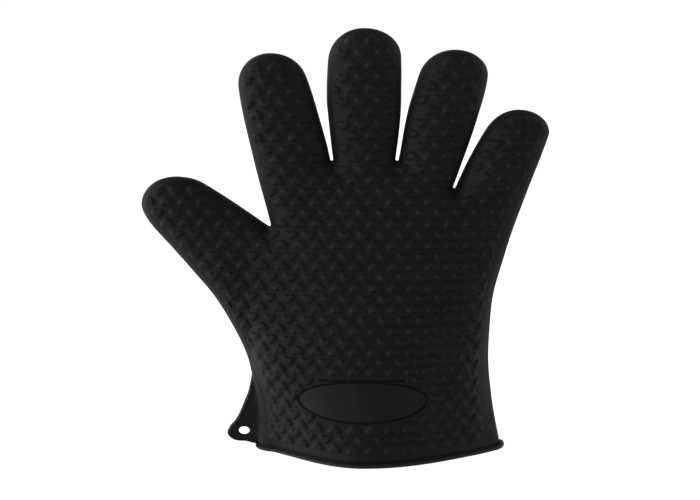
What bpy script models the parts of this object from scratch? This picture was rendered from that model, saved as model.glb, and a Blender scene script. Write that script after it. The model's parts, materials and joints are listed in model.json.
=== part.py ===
"""Heat resistant cooking glove for a right hand, one silicone moulding divided at the lines where it folds.

The glove stands on its cuff rim at z = 0 with the fingers along +Z, the back of the hand facing -Y and
the palm facing +Y. Its outline lies in the plane y = 0, and the two faces swell from it.
"""

import math

import bmesh
import bpy
import numpy as np
from mathutils import Vector
from mathutils.geometry import delaunay_2d_cdt

MM = 0.001

# Wall and depth, in millimetres.
WALL = 2.6
FINGER_DEPTH = 10.5
EDGE_ROUNDING = 20.0
EDGE_FULLNESS = 2.3
GAP = 0.3
CUT_WIDTH = 0.4
PIVOT_DEPTH = 3.0

# How the body of the hand swells beyond the fingers' depth: (height, crest x, half width on the thumb side,
# half width on the other side, extra depth at the crest, fullness of the section).
SWELL = [
    (0.0, 12.0, 56.0, 80.0, 26.0, 1.4),
    (28.0, 12.0, 60.0, 77.0, 24.5, 1.1),
    (60.0, 13.0, 69.0, 73.0, 20.0, 0.7),
    (112.0, 20.0, 78.0, 76.0, 8.5, 1.1),
    (176.0, 28.0, 86.0, 86.0, 0.0, 1.5),
]

# The outline runs clockwise from below the cuff's thumb side to below its little-finger side.
# A station is (x, z, heading in degrees), with heading 90 pointing up.
CUFF_THUMB_SIDE = [(-54.6, -16.0, 88), (-53.6, 22.0, 91), (-57.5, 52.2, 101), (-63.5, 69.0, 115)]
THUMB = [(-83.5, 102.5, 129), (-112.0, 136.0, 130), (-120.5, 151.5, 90), (-100.0, 167.8, 0), (-83.5, 164.0, -31)]
INDEX = [(-56.5, 191.8, 102), (-61.7, 222.0, 90), (-42.5, 239.6, 0), (-22.8, 228.0, -66), (-15.4, 205.6, -74)]
MIDDLE = [(-10.0, 212.0, 90), (-9.3, 236.0, 86), (12.1, 254.0, 0), (33.1, 238.0, -86), (33.4, 218.0, -91)]
RING = [(38.5, 210.5, 74), (44.0, 228.5, 69), (64.0, 241.6, 0), (83.4, 227.0, -92), (72.6, 185.2, -109)]
LITTLE = [(75.7, 182.2, 62), (84.7, 197.8, 55), (102.5, 207.1, 0), (120.5, 193.5, -90), (112.0, 169.0, -110)]
CUFF_OUTER_SIDE = [(97.0, 124.5, -107), (90.2, 98.0, -99), (87.8, 64.0, -90), (90.6, 31.0, -82), (100.5, -16.0, -77)]

# The slits between the fingers: (x, z of the round's centre, radius, heading into it, heading out of it).
THUMB_CROTCH = (-44.9, 139.3, 1.2, -36, 104)
INDEX_CROTCH = (-7.4, 178.1, 1.0, -79, 97)
MIDDLE_CROTCH = (31.3, 178.3, 1.0, -98, 80)
RING_CROTCH = (65.4, 161.9, 1.0, -112, 66)

# Each finger's fold lines: (x, z) of the middle of the first one, the finger's lean from upright,
# and how far along the finger each fold lies.
FINGER_FOLDS = {
    "index": ((-31.0, 179.5), -13.4, (0.0, 22.0, 41.0)),
    "middle": ((11.7, 184.5), 0.0, (0.0, 25.0, 47.0)),
    "ring": ((51.0, 180.0), 14.5, (0.0, 23.0, 43.0)),
    "little": ((86.7, 159.6), 24.0, (0.0, 19.0, 35.0)),
}
FINGER_FLEX = (50.0, 50.0, 35.0)
FINGER_BACKWARD = (10.0, 0.0, 0.0)

# The thumb swings on a long fold between its crotch and the side of the palm, then bends at two more.
THUMB_SWING_TOP = (-51.4, 144.0)
THUMB_SWING_BOTTOM = (-76.8, 92.5)
THUMB_SWING = 40.0
THUMB_FOLD = (-80.2, 132.0)
THUMB_LEAN = -51.0
THUMB_FOLDS = (0.0, 23.0)
THUMB_FLEX = (40.0, 45.0)

WRIST_MIDDLE = (15.0, 66.0)
WRIST_FLEX = 20.0

# Cuff details.
RIM_HEIGHT = 3.0
RIM_PROUD = 1.6
RIM_EDGE_PROUD = 0.5
RIM_SHOULDER_PROUD = 1.2
RIM_SHOULDER = 0.4
RIM_FLANK = 1.1
PANEL_CENTRE = (10.9, 39.0)
PANEL_HALF_SIZE = (37.9, 12.1)
PANEL_THICKNESS = 1.0
RECESS_CLEARANCE = 2.0
TAB_THICKNESS = 2.8
TAB_CORNER_RADIUS = 3.0
TAB_SEAT_POINTS = 12
TAB_HOLE_CENTRE = (-62.2, 10.2)
TAB_HOLE_HALF_SIZE = (3.2, 2.4)
TAB_CORNERS = [(-55.0, 3.4), (-70.0, 3.4), (-74.6, 10.0), (-63.6, 27.5), (-57.2, 46.5)]

# Outer faces are drawn on rings this far inside the outline, inner faces on coarser ones.
OUTER_RINGS = (0.5, 2.0, 5.0, 11.0)
INNER_RINGS = (0.8, 3.5, 10.0)
CORE_SPACING = 11.0
OUTER_SPACING = 10.0
INNER_SPACING = 14.0
OUTLINE_SPACING = 4.0
CUFF_SPACING = 6.0
PANEL_RINGS = (0.0, 0.35, 0.7, 1.0)
PANEL_SIDES = 40
RIM_SIDES = 44

# The faces are drawn down past the foot of the cuff, where the rim cuts them off.
OUTER_FOOT = -10.0
INNER_FOOT = -14.0

# How far the cutting blocks reach past a fold, to either side of it, and out from the middle plane.
PAST_FINGER = 90.0
PAST_THUMB = 110.0
PAST_HAND = 220.0
BESIDE_FINGER = 30.0
BESIDE_THUMB = 60.0
BESIDE_HAND = 140.0
FINGER_CUT_DEPTH = 13.0
THUMB_CUT_DEPTH = 14.5
SWING_CUT_DEPTH = 20.0
HAND_CUT_DEPTH = 50.0


def heading_vector(heading):
    angle = math.radians(heading)
    return np.array([math.cos(angle), math.sin(angle)])


def right_of(direction):
    return np.array([direction[1], -direction[0]])


def bend(start, end, spacing):
    """Points from one station to the next, on the cubic that leaves and arrives along their headings."""
    first, last = np.array(start[:2]), np.array(end[:2])
    leave, arrive = heading_vector(start[2]), heading_vector(end[2])
    chord = np.linalg.norm(last - first)
    turn = abs((end[2] - start[2] + 180) % 360 - 180)
    reach = [chord / 3, chord / 3]
    if turn > 4:
        ahead, back = np.linalg.solve(np.column_stack([leave, arrive]), last - first)
        if min(ahead, back) > 0:
            quarter = math.radians(turn) / 4
            share = 4 / 3 * math.tan(quarter) / math.tan(2 * quarter)
            reach = [share * ahead, share * back]
    handles = [first, first + leave * reach[0], last - arrive * reach[1], last]
    count = max(1, round(max(chord / spacing, turn / 20)))
    points = []
    for step in range(count):
        t = step / count
        weights = [(1 - t) ** 3, 3 * t * (1 - t) ** 2, 3 * t * t * (1 - t), t**3]
        points.append(sum(w * h for w, h in zip(weights, handles)))
    return points


def crotch_stations(crotch):
    """The round at the foot of a slit, as three stations."""
    x, z, radius, down, up = crotch
    stations = []
    for heading in (down, (down + up) / 2, up):
        side = right_of(heading_vector(heading))
        stations.append((x + radius * side[0], z + radius * side[1], heading))
    return stations


def outline_points(spacing):
    """The silhouette as an open line, clockwise, from below the cuff on one side to below it on the other."""
    stations = list(CUFF_THUMB_SIDE)
    stations += THUMB + crotch_stations(THUMB_CROTCH)
    stations += INDEX + crotch_stations(INDEX_CROTCH)
    stations += MIDDLE + crotch_stations(MIDDLE_CROTCH)
    stations += RING + crotch_stations(RING_CROTCH)
    stations += LITTLE + CUFF_OUTER_SIDE
    points = []
    for start, end in zip(stations, stations[1:]):
        points += bend(start, end, spacing)
    points.append(np.array(stations[-1][:2]))
    return np.array(points)


def moved_inward(line, distance):
    """The line moved towards the inside of the glove, square to itself."""
    ahead = np.gradient(line, axis=0)
    ahead /= np.linalg.norm(ahead, axis=1)[:, None]
    return line + distance * np.column_stack([ahead[:, 1], -ahead[:, 0]])


def distance_to(line, points):
    """The distance from each point to the line."""
    start = line[:-1]
    along = line[1:] - start
    offset = points[:, None, :] - start
    share = np.clip((offset * along).sum(2) / (along**2).sum(1), 0, 1)
    return np.linalg.norm(offset - share[:, :, None] * along, axis=2).min(1)


def swell_at(z):
    """The crest, half widths, extra depth and fullness of the hand at a height, eased between stations."""
    heights = [row[0] for row in SWELL]
    place = np.interp(z, heights, range(len(heights)))
    step = np.clip(place.astype(int), 0, len(SWELL) - 2)
    share = place - step
    share = share * share * (3 - 2 * share)
    table = np.array(SWELL)[:, 1:]
    return (table[step] + share[:, None] * (table[step + 1] - table[step])).T


def half_depth(points, inset, outline):
    """How far the face, moved into the wall by inset, stands from the middle plane."""
    x, z = points.T
    crest, thumb_side, other_side, extra, fullness = swell_at(z)
    half_width = np.where(x < crest, thumb_side, other_side)
    across = np.clip(1 - ((x - crest) / half_width) ** 2, 0, 1)
    depth = FINGER_DEPTH + extra * across**fullness
    inside = np.maximum(distance_to(outline, points) - inset, 0)
    rise = 1 - np.minimum(inside / (EDGE_ROUNDING - inset), 1)
    return (depth - inset) * (1 - rise**EDGE_FULLNESS) ** (1 / EDGE_FULLNESS)


def new_object(name, vertices, faces, collection, origin=(0.0, 0.0, 0.0)):
    """A mesh object from points in millimetres, with its origin at the point given in millimetres."""
    base = np.array(origin)
    mesh = bpy.data.meshes.new(name)
    mesh.from_pydata([tuple((np.array(v) - base) * MM) for v in vertices], [], faces)
    made = bmesh.new()
    made.from_mesh(mesh)
    bmesh.ops.recalc_face_normals(made, faces=made.faces)
    made.to_mesh(mesh)
    made.free()
    item = bpy.data.objects.new(name, mesh)
    item.location = Vector(base * MM)
    collection.objects.link(item)
    return item


def swollen_solid(name, outline, spacing, inset, rings, floor, collection):
    """The closed solid between the two faces at a depth in the wall, ending in a flat foot below the cuff."""
    edge = moved_inward(outline_points(spacing), inset)
    edge[0], edge[-1] = (edge[0][0], floor), (edge[-1][0], floor)
    lines = [edge] + [moved_inward(edge, ring) for ring in rings]
    for line in lines:
        line[0][1] = line[-1][1] = floor
    inner = lines[-1]
    xs = np.arange(edge[:, 0].min(), edge[:, 0].max(), CORE_SPACING)
    zs = np.arange(floor, edge[:, 1].max(), CORE_SPACING * 0.87)
    core = [(x + (row % 2) * CORE_SPACING / 2, z) for row, z in enumerate(zs) for x in xs]
    core = np.array(core)
    room = distance_to(edge, core) > rings[-1] + CORE_SPACING * 0.5
    core = core[room & inside_of(np.vstack([edge, edge[:1]]), core)]
    flat = np.vstack(lines + [core])
    bonds = []
    begin = 0
    for line in lines:
        bonds += [(begin + i, begin + i + 1) for i in range(len(line) - 1)]
        begin += len(line)
    foot = np.flatnonzero(abs(flat[:, 1] - floor) < 1e-6)
    foot = foot[np.argsort(flat[foot, 0])]
    bonds += list(zip(foot[:-1].tolist(), foot[1:].tolist()))
    found = delaunay_2d_cdt([Vector(p) for p in flat], bonds, [], 1, 1e-5)
    points = np.array([tuple(v) for v in found[0]])
    depth = half_depth(points, inset, outline)
    on_edge = distance_to(edge, points) < 1e-4
    depth[on_edge] = 0.0
    front = list(range(len(points)))
    back = [i if on_edge[i] else len(points) + i for i in front]
    vertices = [(p[0], -d, p[1]) for p, d in zip(points, depth)]
    vertices += [(p[0], d, p[1]) for p, d in zip(points, depth)]
    faces = [tuple(face) for face in found[2]]
    faces += [tuple(back[i] for i in reversed(face)) for face in found[2]]
    foot = [i for i in front if abs(points[i][1] - floor) < 1e-5]
    foot.sort(key=lambda i: points[i][0])
    for i, j in zip(foot, foot[1:]):
        corners = [i, j, back[j], back[i]]
        faces.append(tuple(dict.fromkeys(corners)))
    item = new_object(name, vertices, faces, collection)
    drop_loose_points(item)
    return item


def inside_of(loop, points):
    """Which points lie inside a closed loop."""
    x, z = points.T
    inside = np.zeros(len(points), bool)
    for (ax, az), (bx, bz) in zip(loop, loop[1:]):
        if az == bz:
            continue
        crosses = (az > z) != (bz > z)
        inside ^= crosses & (x < ax + (z - az) * (bx - ax) / (bz - az))
    return inside


def drop_loose_points(item):
    made = bmesh.new()
    made.from_mesh(item.data)
    loose = [v for v in made.verts if not v.link_faces]
    bmesh.ops.delete(made, geom=loose, context="VERTS")
    made.to_mesh(item.data)
    made.free()


class Fold:
    """A straight fold across the glove: where it crosses, which way is onward, and how far it bends."""

    def __init__(self, x, z, onward, flex, backward, pivot=PIVOT_DEPTH):
        self.point = np.array([x, z])
        self.onward = heading_vector(onward)
        self.pivot = pivot
        self.palm_slope = math.tan(math.radians(flex / 2 + 1.0))
        self.back_slope = math.tan(math.radians(backward / 2 + 0.5))

    def moved(self, distance, flex):
        """The fold further along the same finger."""
        later = Fold(*(self.point + distance * self.onward), 0, flex, 0.0, self.pivot)
        later.onward = self.onward
        return later

    def face(self, side, depth):
        """Points (onward, y) of the cut face on one side of the fold, from the back to the palm."""
        half = CUT_WIDTH / 2
        return [
            (side * (half + self.back_slope * (depth + self.pivot)), -depth),
            (side * half, self.pivot),
            (side * (half + self.palm_slope * (depth - self.pivot)), depth),
        ]

    def origin(self):
        return (self.point[0], self.pivot, self.point[1])


def block(name, fold, near, far, left, right, collection):
    """A closed block onward of a fold, with the given end faces; left and right are (offset, slope) sides."""
    outline = near + far[::-1]
    side = right_of(fold.onward)
    vertices = []
    for offset, slope in (left, right):
        for along, y in outline:
            place = fold.point + along * fold.onward + (offset + slope * along) * side
            vertices.append((place[0], y, place[1]))
    count = len(outline)
    faces = [tuple(range(count)), tuple(range(2 * count - 1, count - 1, -1))]
    faces += [(i, i + count, (i + 1) % count + count, (i + 1) % count) for i in range(count)]
    cutter = new_object(name, vertices, faces, collection)
    cutter.display_type = "WIRE"
    cutter.hide_render = True
    return cutter


def far_face(distance, depth):
    return [(distance, -depth), (distance, 0.0), (distance, depth)]


def cut(item, cutter, operation):
    """Cut the item with the cutter, or keep only what they share."""
    modifier = item.modifiers.new(cutter.name, "BOOLEAN")
    modifier.operation = operation
    modifier.solver = "EXACT"
    modifier.object = cutter


def frozen_mesh(item):
    """The item's mesh as its modifiers leave it."""
    graph = bpy.context.evaluated_depsgraph_get()
    return bpy.data.meshes.new_from_object(item.evaluated_get(graph))


def silicone(name, shade, roughness):
    """A satin silicone rubber."""
    material = bpy.data.materials.new(name)
    material.use_nodes = True
    surface = material.node_tree.nodes["Principled BSDF"]
    surface.inputs["Base Color"].default_value = (*shade, 1.0)
    surface.inputs["Roughness"].default_value = roughness
    surface.inputs["Metallic"].default_value = 0.0
    return material


def dress(item, shade=(0.012, 0.0125, 0.012), roughness=0.5):
    """Give the piece its own material and smooth shading."""
    item.data.materials.clear()
    item.data.materials.append(silicone("silicone_" + item.name, shade, roughness))
    item.data.shade_smooth()


def piece_of_glove(name, glove, origin, parent, collection):
    """A node that starts as the whole hollow glove, with its origin on its own fold."""
    mesh = glove.copy()
    place = Vector(np.array(origin) * MM)
    for vertex in mesh.vertices:
        vertex.co -= place
    item = bpy.data.objects.new(name, mesh)
    collection.objects.link(item)
    item.location = place
    if parent is not None:
        item.parent = parent
        item.location = place - parent.matrix_world.translation
    bpy.context.view_layer.update()
    dress(item)
    return item


def hollow_glove(outline, cutters):
    """The whole glove as one wall, open below the cuff."""
    outer = swollen_solid("outer_face", outline, OUTER_SPACING, 0.0, OUTER_RINGS, OUTER_FOOT, cutters)
    inner = swollen_solid("inner_face", outline, INNER_SPACING, WALL, INNER_RINGS, INNER_FOOT, cutters)
    for item in (outer, inner):
        item.display_type = "WIRE"
        item.hide_render = True
    cut(outer, inner, "DIFFERENCE")
    return frozen_mesh(outer)


def slit_side(fold, crotch, heading):
    """A slit's middle line as (offset, slope) across a finger, which starts at the crotch."""
    side = right_of(fold.onward)
    start = np.array(crotch[:2]) - fold.point
    course = heading_vector(heading)
    slope = (course @ side) / (course @ fold.onward)
    return start @ side - slope * (start @ fold.onward), slope


def slit_heading(crotch):
    return (crotch[3] + 180 + crotch[4]) / 2


def build_fingers(glove, palm, parts, cutters):
    """Three segments for each finger, and the palm cut clear of them."""
    slits = {
        "index": (None, INDEX_CROTCH),
        "middle": (INDEX_CROTCH, MIDDLE_CROTCH),
        "ring": (MIDDLE_CROTCH, RING_CROTCH),
        "little": (RING_CROTCH, None),
    }
    depth = FINGER_CUT_DEPTH
    for finger, (root, lean, distances) in FINGER_FOLDS.items():
        first = Fold(*root, 90 - lean, FINGER_FLEX[0], FINGER_BACKWARD[0])
        sides = []
        for crotch, open_side in zip(slits[finger], (-BESIDE_FINGER, BESIDE_FINGER)):
            if crotch is None:
                sides.append((open_side, 0.0))
            else:
                sides.append(slit_side(first, crotch, slit_heading(crotch)))
        end = far_face(PAST_FINGER, depth)
        beyond = block(finger + "_whole", first, first.face(-1, depth), end, *sides, cutters)
        cut(palm, beyond, "DIFFERENCE")
        parent = palm
        for number, (segment, start) in enumerate(zip(("base", "middle", "tip"), distances)):
            fold = first.moved(start, FINGER_FLEX[number]) if number else first
            near = [(start + along, y) for along, y in fold.face(1, depth)]
            if number == 2:
                far = end
            else:
                onward = first.moved(distances[number + 1], FINGER_FLEX[number + 1])
                far = [(distances[number + 1] + along, y) for along, y in onward.face(-1, depth)]
            name = f"{finger}_{segment}"
            keep = block(name + "_span", first, near, far, *sides, cutters)
            item = piece_of_glove(name, glove, fold.origin(), parent, parts)
            cut(item, keep, "INTERSECT")
            parent = item


def build_thumb(glove, palm, parts, cutters):
    """The thumb's root, which swings on the palm, and its two bending segments."""
    depth = SWING_CUT_DEPTH
    top, bottom = np.array(THUMB_SWING_TOP), np.array(THUMB_SWING_BOTTOM)
    course = (top - bottom) / np.linalg.norm(top - bottom)
    middle = (top + bottom) / 2
    outward = math.degrees(math.atan2(course[0], -course[1]))
    swing = Fold(*middle, outward, THUMB_SWING, 0.0)
    between = slit_side(swing, THUMB_CROTCH, slit_heading(THUMB_CROTCH))
    sides = ((-BESIDE_THUMB, 0.0), between)
    end = far_face(PAST_THUMB, depth)
    whole = block("thumb_whole", swing, swing.face(-1, depth), end, *sides, cutters)
    cut(palm, whole, "DIFFERENCE")
    root = piece_of_glove("thumb_base", glove, swing.origin(), palm, parts)
    span = block("thumb_base_span", swing, swing.face(1, depth), end, *sides, cutters)
    cut(root, span, "INTERSECT")

    depth = THUMB_CUT_DEPTH
    wide = ((-BESIDE_THUMB, 0.0), (BESIDE_FINGER, 0.0))
    end = far_face(PAST_FINGER, depth)
    first = Fold(*THUMB_FOLD, 90 - THUMB_LEAN, THUMB_FLEX[0], 0.0)
    beyond = block("thumb_beyond", first, first.face(-1, depth), end, *wide, cutters)
    cut(root, beyond, "DIFFERENCE")
    second = first.moved(THUMB_FOLDS[1], THUMB_FLEX[1])
    near = first.face(1, depth)
    far = [(THUMB_FOLDS[1] + along, y) for along, y in second.face(-1, depth)]
    span = block("thumb_middle_span", first, near, far, *wide, cutters)
    middle_item = piece_of_glove("thumb_middle", glove, first.origin(), root, parts)
    cut(middle_item, span, "INTERSECT")
    near = [(THUMB_FOLDS[1] + along, y) for along, y in second.face(1, depth)]
    span = block("thumb_tip_span", first, near, end, *wide, cutters)
    tip = piece_of_glove("thumb_tip", glove, second.origin(), middle_item, parts)
    cut(tip, span, "INTERSECT")


def build_hand(glove, parts, cutters):
    """The palm above the wrist fold and the cuff below it."""
    depth = HAND_CUT_DEPTH
    wide = ((-BESIDE_HAND, 0.0), (BESIDE_HAND, 0.0))
    wrist = Fold(*WRIST_MIDDLE, 90, WRIST_FLEX, WRIST_FLEX, pivot=0.0)
    above = block("above_wrist", wrist, wrist.face(1, depth), far_face(PAST_HAND, depth), *wide, cutters)
    foot = far_face(RIM_HEIGHT + GAP - WRIST_MIDDLE[1], depth)
    below = block("below_wrist", wrist, foot, wrist.face(-1, depth), *wide, cutters)
    cuff = piece_of_glove("cuff_shell", glove, (0.0, 0.0, 0.0), None, parts)
    cut(cuff, below, "INTERSECT")
    palm = piece_of_glove("palm_shell", glove, wrist.origin(), cuff, parts)
    cut(palm, above, "INTERSECT")
    return cuff, palm


def cuff_sides(inset):
    """The straight lower part of the outline on the thumb side and on the other side, both upward."""
    edge = moved_inward(outline_points(CUFF_SPACING), inset)
    reach = np.argmax(edge[:, 1] > PANEL_CENTRE[1]), np.argmax(edge[::-1, 1] > PANEL_CENTRE[1])
    return edge[: reach[0]], edge[::-1][: reach[1]]


def loop_at(z, inset, outline):
    """The cuff's closed section at a height, as (x, y) points, clockwise seen from above."""
    left, right = (np.interp(z, side[:, 1], side[:, 0]) for side in cuff_sides(inset))
    turns = np.linspace(0, math.pi, RIM_SIDES // 2 + 1)
    share = (1 - np.cos(turns)) / 2
    share = 0.6 * share + 0.4 * (1 - np.cos(math.pi * share)) / 2
    x = left + (right - left) * share
    y = half_depth(np.column_stack([x, np.full_like(x, z)]), inset, outline)
    y[0] = y[-1] = 0.0
    front = list(zip(x, -y))
    back = list(zip(x[1:-1], y[1:-1]))[::-1]
    return np.array(front + back)


def lofted_ring(name, loops, collection):
    """A closed ring through loops of equal count, listed once around its section."""
    count = len(loops[0])
    vertices = [point for loop in loops for point in loop]
    faces = []
    for row in range(len(loops)):
        after = (row + 1) % len(loops)
        for i in range(count):
            j = (i + 1) % count
            faces.append((row * count + i, row * count + j, after * count + j, after * count + i))
    return new_object(name, vertices, faces, collection)


def moved_outward(loop, distance):
    """A closed (x, y) loop that runs back to palm, widened square to itself."""
    ahead = np.roll(loop, -1, axis=0) - np.roll(loop, 1, axis=0)
    ahead /= np.linalg.norm(ahead, axis=1)[:, None]
    return loop + distance * np.column_stack([ahead[:, 1], -ahead[:, 0]])


def build_rim(outline, cuff, parts):
    """The thick bead around the mouth of the cuff, flat underneath."""
    lower = [(0.0, RIM_EDGE_PROUD), (RIM_SHOULDER, RIM_SHOULDER_PROUD), (RIM_FLANK, RIM_PROUD)]
    bead = lower + [(RIM_HEIGHT - z, proud) for z, proud in lower[::-1]]
    loops = []
    for z, proud in bead:
        loop = moved_outward(loop_at(z, 0.0, outline), proud)
        loops.append([(x, y, z) for x, y in loop])
    for z in (RIM_HEIGHT, 0.0):
        loop = loop_at(z, WALL, outline)
        loops.append([(x, y, z) for x, y in loop])
    rim = lofted_ring("cuff_rim", loops, parts)
    rim.parent = cuff
    dress(rim)


def oval_plate(name, half_size, outer_inset, inner_inset, outline, collection):
    """An oval plate that follows the back of the cuff between two depths in its wall."""
    count = PANEL_SIDES
    flat = [PANEL_CENTRE]
    for ring in PANEL_RINGS[1:]:
        for i in range(count):
            turn = 2 * math.pi * i / count
            x = PANEL_CENTRE[0] + ring * half_size[0] * math.cos(turn)
            z = PANEL_CENTRE[1] + ring * half_size[1] * math.sin(turn)
            flat.append((x, z))
    flat = np.array(flat)
    depth = half_depth(flat, 0.0, outline)
    vertices = []
    for inset in (outer_inset, inner_inset):
        vertices += [(x, -(d - inset), z) for (x, z), d in zip(flat, depth)]
    size = len(flat)
    faces = []
    for i in range(count):
        j = (i + 1) % count
        faces.append((0, 1 + i, 1 + j))
        faces.append((size, size + 1 + j, size + 1 + i))
        for row in range(len(PANEL_RINGS) - 2):
            a, b = 1 + row * count + i, 1 + row * count + j
            faces.append((a, a + count, b + count, b))
            faces.append((size + b, size + b + count, size + a + count, size + a))
        a, b = size - count + i, size - count + j
        faces.append((a, a + size, b + size, b))
    return new_object(name, vertices, faces, collection)


def build_panel(outline, cuff, parts, cutters):
    """The smooth oval panel in its recess on the back of the cuff."""
    panel = oval_plate("oval_panel", PANEL_HALF_SIZE, 0.0, PANEL_THICKNESS, outline, parts)
    panel.parent = cuff
    dress(panel)
    roomy = [half + GAP for half in PANEL_HALF_SIZE]
    recess = oval_plate("panel_recess", roomy, -RECESS_CLEARANCE, PANEL_THICKNESS + GAP, outline, cutters)
    recess.display_type = "WIRE"
    recess.hide_render = True
    cut(cuff, recess, "DIFFERENCE")


def build_tab(outline, cuff, parts, cutters):
    """The flat hanging tab beside the cuff, with its oval hole."""
    edge = outline_points(CUFF_SPACING)[:TAB_SEAT_POINTS]
    seat = []
    for z in np.linspace(TAB_CORNERS[-1][1], TAB_CORNERS[0][1], 8):
        x = np.interp(z, edge[:, 1], edge[:, 0])
        proud = RIM_PROUD + 2 * GAP if z < RIM_HEIGHT + 2 * GAP else GAP
        seat.append((x - proud, z))
    outer = rounded(TAB_CORNERS, TAB_CORNER_RADIUS)
    loop = outer[1:-1] + seat
    half = TAB_THICKNESS / 2
    vertices = [(x, -half, z) for x, z in loop] + [(x, half, z) for x, z in loop]
    count = len(loop)
    faces = [tuple(range(count)), tuple(range(2 * count - 1, count - 1, -1))]
    faces += [(i, (i + 1) % count, (i + 1) % count + count, i + count) for i in range(count)]
    tab = new_object("hang_tab", vertices, faces, parts)
    tab.parent = cuff
    dress(tab)
    bpy.ops.mesh.primitive_cylinder_add(vertices=32, radius=MM, depth=4 * TAB_THICKNESS * MM)
    hole = bpy.context.object
    hole.name = "tab_hole"
    hole.scale = (TAB_HOLE_HALF_SIZE[0], TAB_HOLE_HALF_SIZE[1], 1.0)
    hole.rotation_euler = (math.pi / 2, 0, 0)
    hole.location = (TAB_HOLE_CENTRE[0] * MM, 0, TAB_HOLE_CENTRE[1] * MM)
    hole.display_type = "WIRE"
    hole.hide_render = True
    for owner in list(hole.users_collection):
        owner.objects.unlink(hole)
    cutters.objects.link(hole)
    cut(tab, hole, "DIFFERENCE")


def rounded(corners, radius):
    """An open line through the corners, with each inner corner rounded."""
    points = [corners[0]]
    for before, corner, after in zip(corners, corners[1:], corners[2:]):
        corner = np.array(corner)
        to_before = np.array(before) - corner
        to_after = np.array(after) - corner
        start = corner + to_before / np.linalg.norm(to_before) * radius
        end = corner + to_after / np.linalg.norm(to_after) * radius
        for t in (0.0, 0.25, 0.5, 0.75, 1.0):
            points.append(tuple((1 - t) ** 2 * start + 2 * t * (1 - t) * corner + t * t * end))
    points.append(corners[-1])
    return points


def main():
    for item in list(bpy.data.objects):
        bpy.data.objects.remove(item)
    parts = bpy.data.collections.new("heat_resistant_glove")
    cutters = bpy.data.collections.new("cutters")
    for collection in (parts, cutters):
        bpy.context.scene.collection.children.link(collection)
    outline = outline_points(OUTLINE_SPACING)
    glove = hollow_glove(outline, cutters)
    cuff, palm = build_hand(glove, parts, cutters)
    build_fingers(glove, palm, parts, cutters)
    build_thumb(glove, palm, parts, cutters)
    build_rim(outline, cuff, parts)
    build_panel(outline, cuff, parts, cutters)
    build_tab(outline, cuff, parts, cutters)


main()
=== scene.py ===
"""The finished look of the heat resistant glove: a black silicone skin with heart-shaped grip nubs."""

import json
import math

import bpy
import numpy as np
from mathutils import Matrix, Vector
from mathutils.geometry import delaunay_2d_cdt

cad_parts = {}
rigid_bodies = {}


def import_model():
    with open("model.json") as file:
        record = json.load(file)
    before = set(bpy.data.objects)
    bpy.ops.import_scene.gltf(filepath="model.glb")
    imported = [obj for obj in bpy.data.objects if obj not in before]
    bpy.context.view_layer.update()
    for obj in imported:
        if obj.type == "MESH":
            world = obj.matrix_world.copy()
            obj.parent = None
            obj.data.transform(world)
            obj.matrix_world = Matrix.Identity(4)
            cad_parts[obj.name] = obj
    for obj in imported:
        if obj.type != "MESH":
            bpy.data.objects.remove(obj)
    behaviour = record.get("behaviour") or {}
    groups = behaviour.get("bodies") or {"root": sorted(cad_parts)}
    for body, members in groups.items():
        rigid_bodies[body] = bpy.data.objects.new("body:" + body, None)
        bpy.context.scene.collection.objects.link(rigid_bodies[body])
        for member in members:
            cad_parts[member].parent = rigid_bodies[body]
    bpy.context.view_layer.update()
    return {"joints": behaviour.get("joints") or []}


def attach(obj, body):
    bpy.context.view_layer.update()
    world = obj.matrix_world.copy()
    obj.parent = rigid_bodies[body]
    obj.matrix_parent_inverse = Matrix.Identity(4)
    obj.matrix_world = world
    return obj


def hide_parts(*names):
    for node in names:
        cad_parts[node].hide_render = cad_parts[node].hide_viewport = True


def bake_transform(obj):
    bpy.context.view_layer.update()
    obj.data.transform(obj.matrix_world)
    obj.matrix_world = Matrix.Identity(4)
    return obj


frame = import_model()
joints = {joint["name"]: joint for joint in frame["joints"]}

MM = 0.001

# ---- The glove's form, in millimetres, as in the frame ----

WALL = 2.6
FINGER_DEPTH = 10.5
EDGE_ROUNDING = 20.0
EDGE_FULLNESS = 2.3

# Height, crest x, half width on the thumb side, half width on the other side, extra depth, fullness.
SWELL = [
    (0.0, 12.0, 56.0, 80.0, 26.0, 1.4),
    (28.0, 12.0, 60.0, 77.0, 24.5, 1.1),
    (60.0, 13.0, 69.0, 73.0, 20.0, 0.7),
    (112.0, 20.0, 78.0, 76.0, 8.5, 1.1),
    (176.0, 28.0, 86.0, 86.0, 0.0, 1.5),
]

# Stations (x, z, heading) of the outline, clockwise from below the cuff on the thumb side.
CUFF_THUMB_SIDE = [(-54.6, -16.0, 88), (-53.6, 22.0, 91), (-57.5, 52.2, 101), (-63.5, 69.0, 115)]
THUMB = [
    (-83.5, 102.5, 129), (-112.0, 136.0, 130), (-120.5, 151.5, 90), (-100.0, 167.8, 0), (-83.5, 164.0, -31),
]
INDEX = [(-56.5, 191.8, 102), (-61.7, 222.0, 90), (-42.5, 239.6, 0), (-22.8, 228.0, -66), (-15.4, 205.6, -74)]
MIDDLE = [(-10.0, 212.0, 90), (-9.3, 236.0, 86), (12.1, 254.0, 0), (33.1, 238.0, -86), (33.4, 218.0, -91)]
RING = [(38.5, 210.5, 74), (44.0, 228.5, 69), (64.0, 241.6, 0), (83.4, 227.0, -92), (72.6, 185.2, -109)]
LITTLE = [(75.7, 182.2, 62), (84.7, 197.8, 55), (102.5, 207.1, 0), (120.5, 193.5, -90), (112.0, 169.0, -110)]
CUFF_OUTER_SIDE = [
    (97.0, 124.5, -107), (90.2, 98.0, -99), (87.8, 64.0, -90), (90.6, 31.0, -82), (100.5, -16.0, -77),
]

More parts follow.
